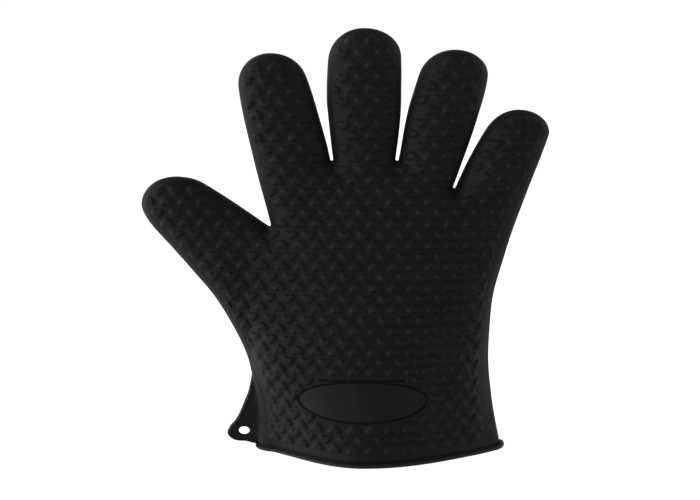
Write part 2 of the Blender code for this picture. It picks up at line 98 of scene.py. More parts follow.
# The slits between the fingers: (x, z of the round's centre, radius, heading in, heading out).
CROTCHES = {
    "thumb": (-44.9, 139.3, 1.2, -36, 104),
    "index": (-7.4, 178.1, 1.0, -79, 97),
    "middle": (31.3, 178.3, 1.0, -98, 80),
    "ring": (65.4, 161.9, 1.0, -112, 66),
}

# ---- The moulded surface, in millimetres ----

# One heart: the crown of its dome and the farthest it reaches are in half widths.
HEART_HALF_WIDTH = 4.1
HEART_HEIGHT = 1.3
HEART_CROWN = (0.0, -0.08)
HEART_FULLNESS = 4.0
HEART_FOOT = 1.1
HEART_REACH = 1.3
HEART_CLEAR_OF_PANEL = 2.4
HEART_CLEAR_OF_LINE = (30.0, 4.6)
HEART_CLEAR_OF_BORDER = 0.6

# The rows of upright hearts, each with an inverted row between it and the one below.
HEART_PITCH = 10.8
HEART_COLUMN = 12.2
ROW_START = 16.0
ROW_STEP = 11.2
ROW_GROWTH = 0.07
ROW_RISE = 1.1
ROW_RISE_MIDDLE = 33.0
ROW_RISE_REACH = 16.0
INVERTED_ROW_DROP = 0.47
ROW_TILT = 0.029
ROW_TILT_MIDDLE = 39.0
ROW_TILT_HEIGHTS = (140.0, 190.0)
ROW_TILT_FROM = -75.0
ROW_TILT_BLEND = 20.0
FIELD_FOOT = 7.5
FIELD_TOP = 250.0
FIELD_COLUMNS = 14
FIELD_FADE = 0.9

# The smooth border beside the field, a little below it.
BORDER = 3.2
BORDER_STEP = 0.14
BORDER_OUTER_EDGE = 0.4
BORDER_OUTER_FADE = 1.2
BORDER_INNER_EDGE = 0.3
BORDER_INNER_FADE = 0.5

# How wide the smooth border is at each height of the cuff and the hand: (height, width).
THUMB_SIDE_MARGIN = [
    (48.0, 7.8), (62.0, 7.2), (70.0, 5.4), (85.0, 4.8), (110.0, 5.5), (128.0, 4.0), (140.0, 3.2),
]
OTHER_SIDE_MARGIN = [
    (40.0, 9.0), (75.0, 5.5), (100.0, 7.0), (130.0, 8.5), (160.0, 8.0), (172.0, 5.0), (190.0, 3.2),
]

# Where across the hand each side's own width sets in, and over what length.
THUMB_SIDE_BLEND = (-20.0, 20.0)
OTHER_SIDE_BLEND = (62.0, 14.0)

# The fine parting line at the outline, and the slight waves of each face.
PARTING_HEIGHT = 0.15
PARTING_HALF_WIDTH = 0.25
UNEVENNESS = 0.12
BACK_WAVES = 0.3
PALM_WAVES = 1.9

# The smooth oval panel, and the short straight line over it.
PANEL_CENTRE = (10.9, 39.0)
PANEL_HALF_SIZE = (37.9, 12.1)
PANEL_RINGS = (-1.1, -0.8, -0.5, -0.25, 0.0, 0.25, 0.5, 0.8, 1.1)
PANEL_BORDER = 0.8
PANEL_CORE = 0.05
LINE_ABOVE_PANEL = 0.3
LINE_HALF_LENGTH = 26.5
LINE_FADE = 2.0
LINE_HEIGHT = PANEL_CENTRE[1] + PANEL_HALF_SIZE[1] + LINE_ABOVE_PANEL
GROOVE_HALF_WIDTH = 0.6
GROOVE_DEPTH = 1.1

# The bead round the mouth, with a thicker knob at the corner on the little finger's side.
RIM_HEIGHT = 2.3
RIM_PROUD = 1.3
RIM_GROOVE = 3.2
RIM_LINES = (2.3, 2.55, 2.8, 3.0, 3.2, 3.4, 3.6, 3.9, 4.3)
RIM_KNOB = 0.75
RIM_KNOB_REACH = 5.0
RIM_LIP = 1.0
RIM_INNER_EDGE = 0.25

# The hanging tab: corners (x, z), then its oval hole, its web and the bead round both.
TAB_CORNERS = [
    (-54.5, 46.0), (-56.4, 47.7), (-58.0, 40.5), (-59.5, 34.8), (-61.6, 29.5), (-64.7, 22.2), (-67.4, 17.3),
    (-70.8, 13.3), (-72.6, 9.1), (-71.1, 5.8), (-67.3, 3.7), (-61.8, 3.3), (-52.5, 3.3), (-52.0, 24.0),
]
TAB_HOLE_CENTRE = (-62.1, 10.3)
TAB_HOLE_HALF_SIZE = (3.3, 2.4)
TAB_WEB = 0.8
TAB_BEAD = 1.4
TAB_ROUNDING = 0.9
TAB_BORDER = (1.3, 0.8)
TAB_HOLE_BORDER = (0.9, 0.5)

# How far the columns of hearts stand off an even spread at each height, at the places across given first.
DRIFT_PLACES = (-75.0, -40.0, -10.0, 10.0, 40.0, 70.0)
COLUMN_DRIFT = [
    (27.0, (-0.8, -0.8, -2.0, -1.2, -0.4, 0.4)),
    (58.0, (-2.3, -2.6, -1.9, -0.4, 0.3, 0.2)),
    (88.0, (-4.0, -3.0, -0.8, 0.6, 1.7, 1.7)),
    (103.0, (-4.4, -2.6, 0.0, 0.6, 1.7, 2.2)),
    (117.0, (-3.5, -0.6, 0.0, 0.5, 1.3, 2.3)),
    (146.0, (-2.8, -0.2, -1.1, -1.1, 1.3, 2.0)),
    (170.0, (-2.8, -2.6, -1.4, -1.1, 0.4, 0.1)),
    (200.0, (-3.4, -3.4, -2.2, -2.0, 0.0, 0.0)),
]

# ---- How finely the surfaces are drawn, in millimetres, degrees and counts ----

STRAIGHT_TURN = 4
TURN_STEP = 7
LINE_SPACING = 0.5
SKIN_FOOT = 1.5
OUTER_SPACING = 1.5
OUTER_RINGS = (0.12, 0.35, 0.7, 1.2, 1.8, 2.5, 2.8, 3.1, 3.4, 4.2)
CORE_SPACING = 2.4
INNER_RINGS = (0.3, 1.0, 2.2, 4.0, 7.0)
INNER_SPACING = 4.0
SHEET_ROW = 0.87
SHEET_CLEARANCE = 0.45
SAME_PLACE = 1e-4
ON_EDGE = 1e-3
SURFACE_STEPS = (-130.0, 130.0, 1041)
HEART_TABLE_POINTS = 240
HEART_POINTS = 22
HEART_LOOPS = (1.0, 0.94, 0.8, 0.5)
PANEL_POINTS = 240
RIM_LINE_ENDS = (-80.0, 120.0)
RIM_LINE_SPACING = 0.8
CUFF_TOP = 60.0
SECTION_POINTS = 2000
RIM_POINTS = 420
RIM_TURNS = (-90, 110, 13)
TAB_SPACING = 0.6
TAB_HOLE_POINTS = 48
TAB_RINGS = (0.0, 0.15, 0.45, 0.9, 1.3, 1.7, 2.1)
TAB_LAST_HOLE_RING = 1.5
TAB_GRID = 0.9
TAB_GRID_X = (-80, -50)
TAB_GRID_Z = (0, 50)
FAR_AWAY = (900.0, 900.0)

# ---- How the skin is divided: where one piece hands over to the next, from each fold ----

WRIST_REACH = 12.0
WRIST_MARGIN = 1.5
PALM_SIDE = -8.0
PALM_CUT = (-90.0, 110.0)
FINGER_CUT = 27.0
SWING_CUT = 50.0
THUMB_CUT = 30.0
THUMB_HANDOVER = ((-58.0, 151.0), (-88.0, 103.0))
FINGERS_ABOVE = 130.0
FINGERS = ("index", "middle", "ring", "little")


def heading_vector(heading):
    angle = math.radians(heading)
    return np.array([math.cos(angle), math.sin(angle)])


def right_of(direction):
    return np.array([direction[1], -direction[0]])


def bend(start, end, spacing):
    """Points from one station to the next, on the cubic that leaves and arrives along their headings."""
    first, last = np.array(start[:2]), np.array(end[:2])
    leave, arrive = heading_vector(start[2]), heading_vector(end[2])
    chord = np.linalg.norm(last - first)
    turn = abs((end[2] - start[2] + 180) % 360 - 180)
    reach = [chord / 3, chord / 3]
    if turn > STRAIGHT_TURN:
        ahead, back = np.linalg.solve(np.column_stack([leave, arrive]), last - first)
        if min(ahead, back) > 0:
            quarter = math.radians(turn) / 4
            share = 4 / 3 * math.tan(quarter) / math.tan(2 * quarter)
            reach = [share * ahead, share * back]
    handles = [first, first + leave * reach[0], last - arrive * reach[1], last]
    count = max(1, round(max(chord / spacing, turn / TURN_STEP)))
    points = []
    for step in range(count):
        t = step / count
        weights = [(1 - t) ** 3, 3 * t * (1 - t) ** 2, 3 * t * t * (1 - t), t**3]
        points.append(sum(w * h for w, h in zip(weights, handles)))
    return points


def crotch_stations(crotch):
    x, z, radius, down, up = crotch
    stations = []
    for heading in (down, (down + up) / 2, up):
        side = right_of(heading_vector(heading))
        stations.append((x + radius * side[0], z + radius * side[1], heading))
    return stations


def outline_points(spacing):
    """The silhouette as an open line, clockwise, from below the cuff on one side to below it on the other."""
    stations = list(CUFF_THUMB_SIDE)
    for finger, crotch in zip((THUMB, INDEX, MIDDLE, RING), CROTCHES.values()):
        stations += finger + crotch_stations(crotch)
    stations += LITTLE + CUFF_OUTER_SIDE
    points = []
    for start, end in zip(stations, stations[1:]):
        points += bend(start, end, spacing)
    points.append(np.array(stations[-1][:2]))
    return np.array(points)


def moved_inward(line, distance):
    ahead = np.gradient(line, axis=0)
    ahead /= np.linalg.norm(ahead, axis=1)[:, None]
    return line + distance * np.column_stack([ahead[:, 1], -ahead[:, 0]])


def distance_to(line, points):
    """The distance from each point to the line, worked out a few thousand points at a time."""
    start = line[:-1]
    along = line[1:] - start
    length = (along**2).sum(1)
    found = []
    for chunk in np.array_split(points, max(1, len(points) // 4000)):
        offset = chunk[:, None, :] - start
        share = np.clip((offset * along).sum(2) / length, 0, 1)
        found.append(np.linalg.norm(offset - share[:, :, None] * along, axis=2).min(1))
    return np.concatenate(found)


def inside_of(loop, points):
    x, z = points.T
    inside = np.zeros(len(points), bool)
    for (ax, az), (bx, bz) in zip(loop, loop[1:]):
        if az == bz:
            continue
        crosses = (az > z) != (bz > z)
        inside ^= crosses & (x < ax + (z - az) * (bx - ax) / (bz - az))
    return inside


def swell_at(z):
    heights = [row[0] for row in SWELL]
    place = np.interp(z, heights, range(len(heights)))
    step = np.clip(place.astype(int), 0, len(SWELL) - 2)
    share = place - step
    share = share * share * (3 - 2 * share)
    table = np.array(SWELL)[:, 1:]
    return (table[step] + share[:, None] * (table[step + 1] - table[step])).T


def extra_depth(x, z):
    """What the body of the hand adds to the fingers' depth."""
    crest, thumb_side, other_side, extra, fullness = swell_at(z)
    half_width = np.where(x < crest, thumb_side, other_side)
    across = np.clip(1 - ((x - crest) / half_width) ** 2, 0, 1)
    return extra * across**fullness


def half_depth(points, inset, inside):
    """How far a face stands from the middle plane, given each point's distance inside the outline."""
    x, z = points.T
    depth = FINGER_DEPTH + extra_depth(x, z)
    rise = 1 - np.clip((inside - inset) / (EDGE_ROUNDING - inset), 0, 1)
    return (depth - inset) * (1 - rise**EDGE_FULLNESS) ** (1 / EDGE_FULLNESS)


def smooth(value):
    value = np.clip(value, 0, 1)
    return value * value * (3 - 2 * value)


# ---- The hearts ----


def heart_curve(count):
    """A plump heart's outline about its own middle, point down, as wide as two units."""
    turn = np.linspace(0, 2 * math.pi, count, endpoint=False)
    x = np.sin(turn) - 0.13 * np.sin(3 * turn)
    z = 13 * np.cos(turn) - 3.4 * np.cos(2 * turn) - 1.3 * np.cos(3 * turn) - 0.6 * np.cos(4 * turn)
    return np.column_stack([x / 1.02, (z / 16 + 0.08) * 0.86])


HEART_FINE = heart_curve(HEART_TABLE_POINTS) - HEART_CROWN
HEART_ANGLES = np.arctan2(HEART_FINE[:, 1], HEART_FINE[:, 0])
HEART_ORDER = np.argsort(HEART_ANGLES)
HEART_RADII = np.linalg.norm(HEART_FINE, axis=1)


def heart_reach(offset):
    """How far out from the crown each offset lies, as a share of the heart's outline in that direction."""
    offset = offset - HEART_CROWN
    angle = np.arctan2(offset[:, 1], offset[:, 0])
    radius = np.interp(angle, HEART_ANGLES[HEART_ORDER], HEART_RADII[HEART_ORDER], period=2 * math.pi)
    return np.linalg.norm(offset, axis=1) / radius


def across_surface(z):
    """x positions across the hand at a height, and the swelling surface's length from the column line."""
    x = np.linspace(*SURFACE_STEPS)
    y = extra_depth(x, np.full_like(x, z))
    length = np.concatenate([[0], np.cumsum(np.hypot(np.diff(x), np.diff(y)))])
    return x, length - np.interp(HEART_COLUMN, x, length)


def column_drift(x, z):
    """How far a heart at this place stands off the even spread."""
    heights = [height for height, _ in COLUMN_DRIFT]
    here = [np.interp(z, heights, drifts) for drifts in zip(*[drifts for _, drifts in COLUMN_DRIFT])]
    return np.interp(x, DRIFT_PLACES, here)


def row_tilt(x, z):
    """How far a heart on the fingers, but not on the thumb, stands above a level row."""
    share = np.interp(z, ROW_TILT_HEIGHTS, (0, 1)) * smooth((x - ROW_TILT_FROM) / ROW_TILT_BLEND)
    return ROW_TILT * share * (x - ROW_TILT_MIDDLE)


def heart_places(outline):
    """(x, z, stretch along x, 1 upright or -1 inverted) of each heart in the textured field."""
    places = []
    row = 0
    previous = ROW_START - ROW_STEP
    while previous < FIELD_TOP:
        height = ROW_START + ROW_STEP * row + ROW_GROWTH * row**2
        height += ROW_RISE * math.exp(-(((height - ROW_RISE_MIDDLE) / ROW_RISE_REACH) ** 2))
        rows = ((height - INVERTED_ROW_DROP * (height - previous), 0.5, -1), (height, 0.0, 1))
        for z, shift, way in rows:
            x, length = across_surface(z)
            for column in range(-FIELD_COLUMNS, FIELD_COLUMNS):
                place = (column + shift) * HEART_PITCH
                here = np.interp(place, length, x)
                stretch = np.interp(place + 1, length, x) - np.interp(place - 1, length, x)
                places.append((here + column_drift(here, z), z + row_tilt(here, z), stretch / 2, way))
        previous = height
        row += 1
    places = np.array(places)
    loop = np.vstack([outline, outline[:1]])
    centres = places[:, :2]
    good = inside_of(loop, centres) & (centres[:, 1] > FIELD_FOOT)
    good &= distance_to(outline, centres) > BORDER + HEART_CLEAR_OF_BORDER
    return places[good]


def field_margin(points):
    """How far inside the outline the textured field starts."""
    x, z = points.T
    thumb_side = smooth((THUMB_SIDE_BLEND[0] - x) / THUMB_SIDE_BLEND[1])
    other_side = smooth((x - OTHER_SIDE_BLEND[0]) / OTHER_SIDE_BLEND[1])
    margin = BORDER + thumb_side * (np.interp(z, *np.transpose(THUMB_SIDE_MARGIN)) - BORDER)
    return margin + other_side * (np.interp(z, *np.transpose(OTHER_SIDE_MARGIN)) - BORDER)


def panel_distance(points):
    """The distance outside the panel's edge, negative on the panel."""
    offset = points - np.array(PANEL_CENTRE)
    reach = np.linalg.norm(offset / np.array(PANEL_HALF_SIZE), axis=1)
    return np.linalg.norm(offset, axis=1) * (1 - 1 / np.maximum(reach, PANEL_CORE))


def clear_of_panel(centres):
    """Which hearts keep off the panel and the straight line over it."""
    to_side, to_line = abs(centres - (PANEL_CENTRE[0], LINE_HEIGHT)).T
    over_line = (to_side < HEART_CLEAR_OF_LINE[0]) & (to_line < HEART_CLEAR_OF_LINE[1])
    return (panel_distance(centres) > HEART_CLEAR_OF_PANEL) & ~over_line


def heart_relief(points, places):
    """The height of the hearts at each point."""
    relief = np.zeros(len(points))
    reach_of_any = HEART_HALF_WIDTH * HEART_REACH
    order = np.argsort(points[:, 1])
    heights = points[order, 1]
    for x, z, stretch, way in places:
        low, high = np.searchsorted(heights, (z - reach_of_any, z + reach_of_any))
        near = order[low:high]
        near = near[abs(points[near, 0] - x) < reach_of_any]
        offset = (points[near] - (x, z)) / HEART_HALF_WIDTH
        offset[:, 0] /= stretch
        offset[:, 1] *= way
        reach = heart_reach(offset)
        swell = np.clip(1 - reach**HEART_FULLNESS, 0, 1) ** HEART_FOOT
        relief[near] = np.maximum(relief[near], HEART_HEIGHT * swell)
    return relief


def groove(distance):
    return -GROOVE_DEPTH * np.exp(-((distance / GROOVE_HALF_WIDTH) ** 2))


def back_relief(points, inside, places):
    """The back of the hand: hearts in their field, the oval panel's groove and the line above it."""
    x, z = points.T
    margin = field_margin(points)
    from_panel = panel_distance(points)
    field = smooth((inside - margin) / FIELD_FADE) * smooth((from_panel - PANEL_BORDER) / FIELD_FADE)
    relief = heart_relief(points, places) * field
    ends = smooth((LINE_HALF_LENGTH - abs(x - PANEL_CENTRE[0])) / LINE_FADE)
    relief += np.minimum(groove(from_panel), ends * groove(z - LINE_HEIGHT))
    return relief + border_relief(inside) + groove(z - RIM_GROOVE)


def palm_relief(points, inside, places):
    """The palm side: hearts in their field."""
    field = smooth((inside - field_margin(points)) / FIELD_FADE)
    return heart_relief(points, places) * field + border_relief(inside) + groove(points[:, 1] - RIM_GROOVE)


def border_relief(inside):
    """A low step where the textured field meets the smooth side, and a fine parting line at the outline."""
    outer = smooth((inside - BORDER_OUTER_EDGE) / BORDER_OUTER_FADE)
    inner = smooth((inside - BORDER + BORDER_INNER_EDGE) / BORDER_INNER_FADE)
    sunk = outer * (1 - inner)
    parting = PARTING_HEIGHT * np.exp(-((inside / PARTING_HALF_WIDTH) ** 2))
    return parting - BORDER_STEP * sunk


def undulation(points, turn):
    """The slight unevenness of a soft moulding: three long waves, shifted by the turn."""
    x, z = points.T
    return UNEVENNESS * (
        np.sin(x / 9.5 + turn) * np.cos(z / 12.5 + 2 * turn)
        + 0.6 * np.sin(x / 5.3 + z / 7.9 + 3 * turn)
        + 0.5 * np.cos(z / 6.1 - x / 14.0 + turn)
    )


# ---- Folds, from the frame's joints ----


class Fold:
    """A hinge line of the frame seen in the middle plane, in millimetres."""

    def __init__(self, name):
        joint = joints[name]
        self.parent = joint["parent"]
        self.child = joint["child"]
        self.place = np.array([joint["pos_m"][0], joint["pos_m"][2]]) / MM
        side = -np.array([joint["axis"][0], joint["axis"][2]])
        self.onward = np.array([-side[1], side[0]])
        self.side = side

    def along(self, points):
        return (points - self.place) @ self.onward

    def line(self, along, left, right):
        start = self.place + along * self.onward
        return start - left * self.side, start + right * self.side


def drawn(start, end, spacing=LINE_SPACING):
    """Evenly spaced points from start to end."""
    count = max(2, round(np.linalg.norm(np.array(end) - np.array(start)) / spacing))
    share = np.linspace(0, 1, count)[:, None]
    return np.array(start) + share * (np.array(end) - np.array(start))


WRIST = Fold("wrist_flex")
SWING = Fold("thumb_swing")
THUMB_BENDS = [Fold("thumb_middle_bend"), Fold("thumb_tip_bend")]
BENDS = {finger: [Fold(f"{finger}_{part}_bend") for part in ("base", "middle", "tip")] for finger in FINGERS}

PALM_START = WRIST.place[1] + WRIST_REACH + WRIST_MARGIN


def handovers(folds):
    """How far beyond its first fold a finger passes from one piece to the next."""
    places = [-fold.along(folds[0].place) for fold in folds]
    middles = [(a + b) / 2 for a, b in zip(places, places[1:])]
    return [PALM_SIDE] + middles


def cut_lines():
    """The lines along which the skin is divided."""
    lines = [drawn(*[(x, PALM_START) for x in PALM_CUT])]
    for finger, folds in BENDS.items():
        for along in handovers(folds):
            lines.append(drawn(*folds[0].line(along, FINGER_CUT, FINGER_CUT)))
    lines.append(drawn(*SWING.line(PALM_SIDE, SWING_CUT, SWING_CUT)))
    lines.append(drawn(*THUMB_HANDOVER))
    thumb = handovers(THUMB_BENDS)
    lines.append(drawn(*THUMB_BENDS[0].line(thumb[1], THUMB_CUT, THUMB_CUT)))
    return lines


def slit_side(crotch, points):
    """Positive for points to the right of a slit's middle line, as seen with the fingers up."""
    x, z, radius, down, up = crotch
    course = heading_vector((down + 180 + up) / 2)
    return (points - (x, z)) @ right_of(course)


def piece_of(points):
    """The name of the skin piece that each point belongs to."""
    names = np.full(len(points), "skin_palm", dtype=object)
    names[points[:, 1] < PALM_START] = "skin_cuff"
    sides = [None] + [CROTCHES[f] for f in ("index", "middle", "ring")] + [None]
    for (finger, folds), left, right in zip(BENDS.items(), sides, sides[1:]):
        own = points[:, 1] > FINGERS_ABOVE
        if left is not None:
            own &= slit_side(left, points) > 0
        if right is not None:
            own &= slit_side(right, points) < 0
        along = folds[0].along(points)
        for part, start in zip(("base", "middle", "tip"), handovers(folds)):
            names[own & (along > start)] = f"skin_{finger}_{part}"
    thumb = (SWING.along(points) > PALM_SIDE) & (slit_side(CROTCHES["thumb"], points) < 0)
    thumb &= points[:, 1] > PALM_START
    names[thumb] = "skin_thumb_base"
    top, bottom = np.array(THUMB_HANDOVER)
    beyond = (points - top) @ right_of(bottom - top) > 0
    names[thumb & beyond] = "skin_thumb_middle"
    tip = THUMB_BENDS[0].along(points) > handovers(THUMB_BENDS)[1]
    names[thumb & tip] = "skin_thumb_tip"
    return names


# ---- Sheets of triangles ----


def runs(line, good):
    """The stretches of a line whose points are all good, each with one point more at either end."""
    found = []
    start = None
    for i, fine in enumerate(list(good) + [False]):
        if fine and start is None:
            start = i
        if not fine and start is not None:
            found.append(line[max(start - 1, 0) : i + 1])
            start = None
    return found


def clear_of(points, others, distance):
    """The points that have none of the others within a distance."""
    taken = {(a, b) for a, b in np.floor(others / distance).astype(int).tolist()}
    keep = []
    for i, (a, b) in enumerate(np.floor(points / distance).astype(int).tolist()):
        if not any((a + da, b + db) in taken for da in (-1, 0, 1) for db in (-1, 0, 1)):
            keep.append(i)
    return points[keep]


def sheet(edge, rings, spacing, open_lines, closed_lines, foot):
    """Flat triangles inside the edge line, which also follow rings inside it and the lines given."""
    flat = []
    bonds = []

    def follow(line, closed=False):
        begin = sum(len(part) for part in flat)
        flat.append(line)
        count = len(line)
        bonds.extend((begin + i, begin + i + 1) for i in range(count - 1))
        if closed:
            bonds.append((begin + count - 1, begin))

    for ring in (0.0, *rings):
        line = moved_inward(edge, ring) if ring else edge.copy()
        line[0][1] = line[-1][1] = foot
        follow(line)
    follow(drawn(edge[0], edge[-1], spacing))
    loop = np.vstack([edge, edge[:1]])
    for line in open_lines:
        for run in runs(line, inside_of(loop, line) & (line[:, 1] > foot)):
            follow(run)
    for line in closed_lines:
        follow(line, True)
    xs = np.arange(edge[:, 0].min(), edge[:, 0].max(), spacing)
    zs = np.arange(foot + spacing / 2, edge[:, 1].max(), spacing * SHEET_ROW)
    core = np.array([(x + (row % 2) * spacing / 2, z) for row, z in enumerate(zs) for x in xs])
    core = core[inside_of(loop, core)]
    core = core[distance_to(edge, core) > rings[-1] + spacing / 2]
    flat.append(clear_of(core, np.vstack(flat), spacing * SHEET_CLEARANCE))
    found = delaunay_2d_cdt([Vector(p) for p in np.vstack(flat)], bonds, [], 0, SAME_PLACE)
    points = np.array([tuple(v) for v in found[0]])
    faces = np.array(found[2])
    faces = faces[inside_of(loop, points[faces].mean(1))]
    used, faces = np.unique(faces, return_inverse=True)
    return points[used], faces.reshape(-1, 3)


def heart_loops(places):
    """Loops around each heart, from its foot to near its top."""
    curve = heart_curve(HEART_POINTS)
    loops = []
    for x, z, stretch, way in places:
        for size in HEART_LOOPS:
            loop = HEART_CROWN + (curve - HEART_CROWN) * size
            loops.append(loop * HEART_HALF_WIDTH * (stretch, way) + (x, z))
    return loops


def oval(out, count):
    """The panel's oval, made larger by a distance."""
    turn = np.linspace(0, 2 * math.pi, count, endpoint=False)
    half = np.array(PANEL_HALF_SIZE) + out
    return np.array(PANEL_CENTRE) + half * np.column_stack([np.cos(turn), np.sin(turn)])


def vertex_normals(vertices, faces):
    a, b, c = (vertices[faces[:, i]] for i in range(3))
    flat = np.cross(b - a, c - a)
    normals = np.zeros_like(vertices)
    for i in range(3):
        for axis in range(3):
            normals[:, axis] += np.bincount(faces[:, i], flat[:, axis], len(vertices))
    length = np.linalg.norm(normals, axis=1)[:, None]
    return normals / np.maximum(length, 1e-12)


def two_faced(points, faces, edge, depth, outward=True):
    """The back and the palm side over one flat sheet, joined at the edge line: vertices and triangles."""
    count = len(points)
    on_edge = distance_to(edge, points) < ON_EDGE
    depth = np.where(on_edge, 0.0, depth)
    vertices = np.vstack(
        [np.column_stack([points[:, 0], side * depth, points[:, 1]]) for side in (-1, 1)]
    )
    far = np.where(on_edge, np.arange(count), np.arange(count) + count)
    back, palm = faces, far[faces[:, ::-1]]
    if not outward:
        back, palm = back[:, ::-1], palm[:, ::-1]
    return vertices, np.vstack([back, palm])


def mesh_object(name, vertices, faces, normals=None):
    """A smooth-shaded mesh object from points in millimetres."""
    mesh = bpy.data.meshes.new(name)
    mesh.vertices.add(len(vertices))
    mesh.vertices.foreach_set("co", (vertices * MM).ravel().astype(np.float32))
    mesh.loops.add(faces.size)
    mesh.loops.foreach_set("vertex_index", faces.ravel().astype(np.int32))
    mesh.polygons.add(len(faces))
    mesh.polygons.foreach_set("loop_start", np.arange(0, faces.size, faces.shape[1], dtype=np.int32))
    mesh.update(calc_edges=True)
    mesh.shade_smooth()
    if normals is not None:
        mesh.normals_split_custom_set_from_vertices(normals.tolist())
    item = bpy.data.objects.new(name, mesh)
    bpy.context.scene.collection.objects.link(item)
    return item


# ---- The skin ----


def outer_skin():
    """The moulded outer surface: vertices, normals, triangles and the piece each triangle belongs to."""
    edge = outline_points(OUTER_SPACING)
    edge = edge[edge[:, 1] >= SKIN_FOOT]
    edge[0][1] = edge[-1][1] = SKIN_FOOT
    places = heart_places(edge)
    kept = places[clear_of_panel(places[:, :2])]
    closed = heart_loops(places) + [oval(out, PANEL_POINTS) for out in PANEL_RINGS]
    lines = cut_lines()
    for shift in PANEL_RINGS:
        left, right = (PANEL_CENTRE[0] + side * LINE_HALF_LENGTH for side in (-1, 1))
        lines.append(drawn((left, LINE_HEIGHT + shift), (right, LINE_HEIGHT + shift)))
    for height in RIM_LINES:
        lines.append(drawn(*[(x, height) for x in RIM_LINE_ENDS], RIM_LINE_SPACING))
    points, faces = sheet(edge, OUTER_RINGS, CORE_SPACING, lines, closed, SKIN_FOOT)
    inside = distance_to(edge, points)
    depth = half_depth(points, 0.0, inside)
    vertices, joined = two_faced(points, faces, edge, depth)
    normals = vertex_normals(vertices, joined)
    relief = np.concatenate(
        [
            back_relief(points, inside, kept) + undulation(points, BACK_WAVES),
            palm_relief(points, inside, places) + undulation(points, PALM_WAVES),
        ]
    )
    vertices = vertices + normals * relief[:, None]
    names = piece_of(points[faces].mean(1))
    panel = panel_distance(points[faces].mean(1)) < 0
    back_names = np.where(panel, "panel", names)
    return vertices, vertex_normals(vertices, joined), joined, np.concatenate([back_names, names])


def inner_skin():
    """The plain inner surface, a wall's thickness inside the outer one."""
    outline = outline_points(OUTER_SPACING)
    edge = moved_inward(outline, WALL)
    edge = edge[edge[:, 1] >= SKIN_FOOT]
    edge[0][1] = edge[-1][1] = SKIN_FOOT
    points, faces = sheet(edge, INNER_RINGS, INNER_SPACING, cut_lines(), [], SKIN_FOOT)
    depth = half_depth(points, WALL, distance_to(outline, points))
    vertices, joined = two_faced(points, faces, edge, depth, outward=False)
    names = piece_of(points[faces].mean(1))
    return vertices, vertex_normals(vertices, joined), joined, np.concatenate([names, names])


def skin_pieces():
    """Every piece of the skin, the outer and inner surfaces together, by name."""
    gathered = {}
    for vertices, normals, faces, names in (outer_skin(), inner_skin()):
        for name in sorted(set(names)):
            used, own = np.unique(faces[names == name], return_inverse=True)
            gathered.setdefault(name, []).append((vertices[used], normals[used], own.reshape(-1, 3)))
    pieces = {}
    for name, layers in gathered.items():
        begin = np.cumsum([0] + [len(layer[0]) for layer in layers])
        faces = np.vstack([layer[2] + start for layer, start in zip(layers, begin)])
        vertices = np.vstack([layer[0] for layer in layers])
        normals = np.vstack([layer[1] for layer in layers])
        pieces[name] = mesh_object(name, vertices, faces, normals)
    return pieces


def bend_with(item):
    """The piece keeps its place, with its placement baked into its points."""
    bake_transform(item)


# ---- The rim and the tab ----


def cuff_section(z, inset, outline, count):
    """The cuff's closed section at a height: (x, y) points from the thumb side, along the back and round."""
    edge = moved_inward(outline, inset)
    middle = len(edge) // 2
    left, right = edge[:middle], edge[middle:][::-1]
    left = left[: np.argmax(left[:, 1] > CUFF_TOP)]
    right = right[: np.argmax(right[:, 1] > CUFF_TOP)]
    ends = [np.interp(z, side[:, 1], side[:, 0]) for side in (left, right)]
    turn = np.linspace(0, math.pi, SECTION_POINTS)
    x = ends[0] + (ends[1] - ends[0]) * (1 - np.cos(turn)) / 2
    flat = np.column_stack([x, np.full_like(x, z)])
    y = half_depth(flat, inset, distance_to(outline, flat))
    y[0] = y[-1] = 0.0
    length = np.concatenate([[0], np.cumsum(np.hypot(np.diff(x), np.diff(y)))])
    even = np.linspace(0, length[-1], count // 2 + 1)
    x, y = np.interp(even, length, x), np.interp(even, length, y)
    front = np.column_stack([x, -y])
    rear = np.column_stack([x[1:-1], y[1:-1]])[::-1]
    return np.vstack([front, rear])


def moved_right(loop, distance):
    """A closed line moved square to itself, to the right of its course."""
    ahead = np.roll(loop, -1, axis=0) - np.roll(loop, 1, axis=0)
    ahead /= np.linalg.norm(ahead, axis=1)[:, None]
    return loop + distance * np.column_stack([ahead[:, 1], -ahead[:, 0]])


def build_rim():
    """The rolled bead around the mouth of the cuff."""
    outline = outline_points(OUTER_SPACING)
    count = RIM_POINTS
    outer = cuff_section(0.0, 0.0, outline, count)
    inner = cuff_section(0.0, WALL, outline, count)
    from_corner = np.linalg.norm(outer - outer[count // 2], axis=1)
    knob = 1 + RIM_KNOB * np.exp(-((from_corner / RIM_KNOB_REACH) ** 2))
    loops = []
    for turn in np.radians(np.linspace(*RIM_TURNS)):
        loop = moved_right(outer, (knob * RIM_PROUD * math.cos(turn))[:, None])
        loops.append(np.column_stack([loop, knob * RIM_HEIGHT / 2 * (1 + math.sin(turn))]))
    for z in (RIM_HEIGHT + RIM_LIP, RIM_HEIGHT / 2, RIM_INNER_EDGE, 0.0):
        roll = RIM_INNER_EDGE if z == 0.0 else 0.0
        loop = moved_right(inner, roll)
        loops.append(np.column_stack([loop[:, 0], loop[:, 1], np.full(count, z)]))
    rows = len(loops)
    faces = []
    for row in range(rows):
        after = (row + 1) % rows
        for i in range(count):
            j = (i + 1) % count
            faces.append((row * count + i, row * count + j, after * count + j, after * count + i))
    return mesh_object("rim_bead", np.vstack(loops), np.array(faces))


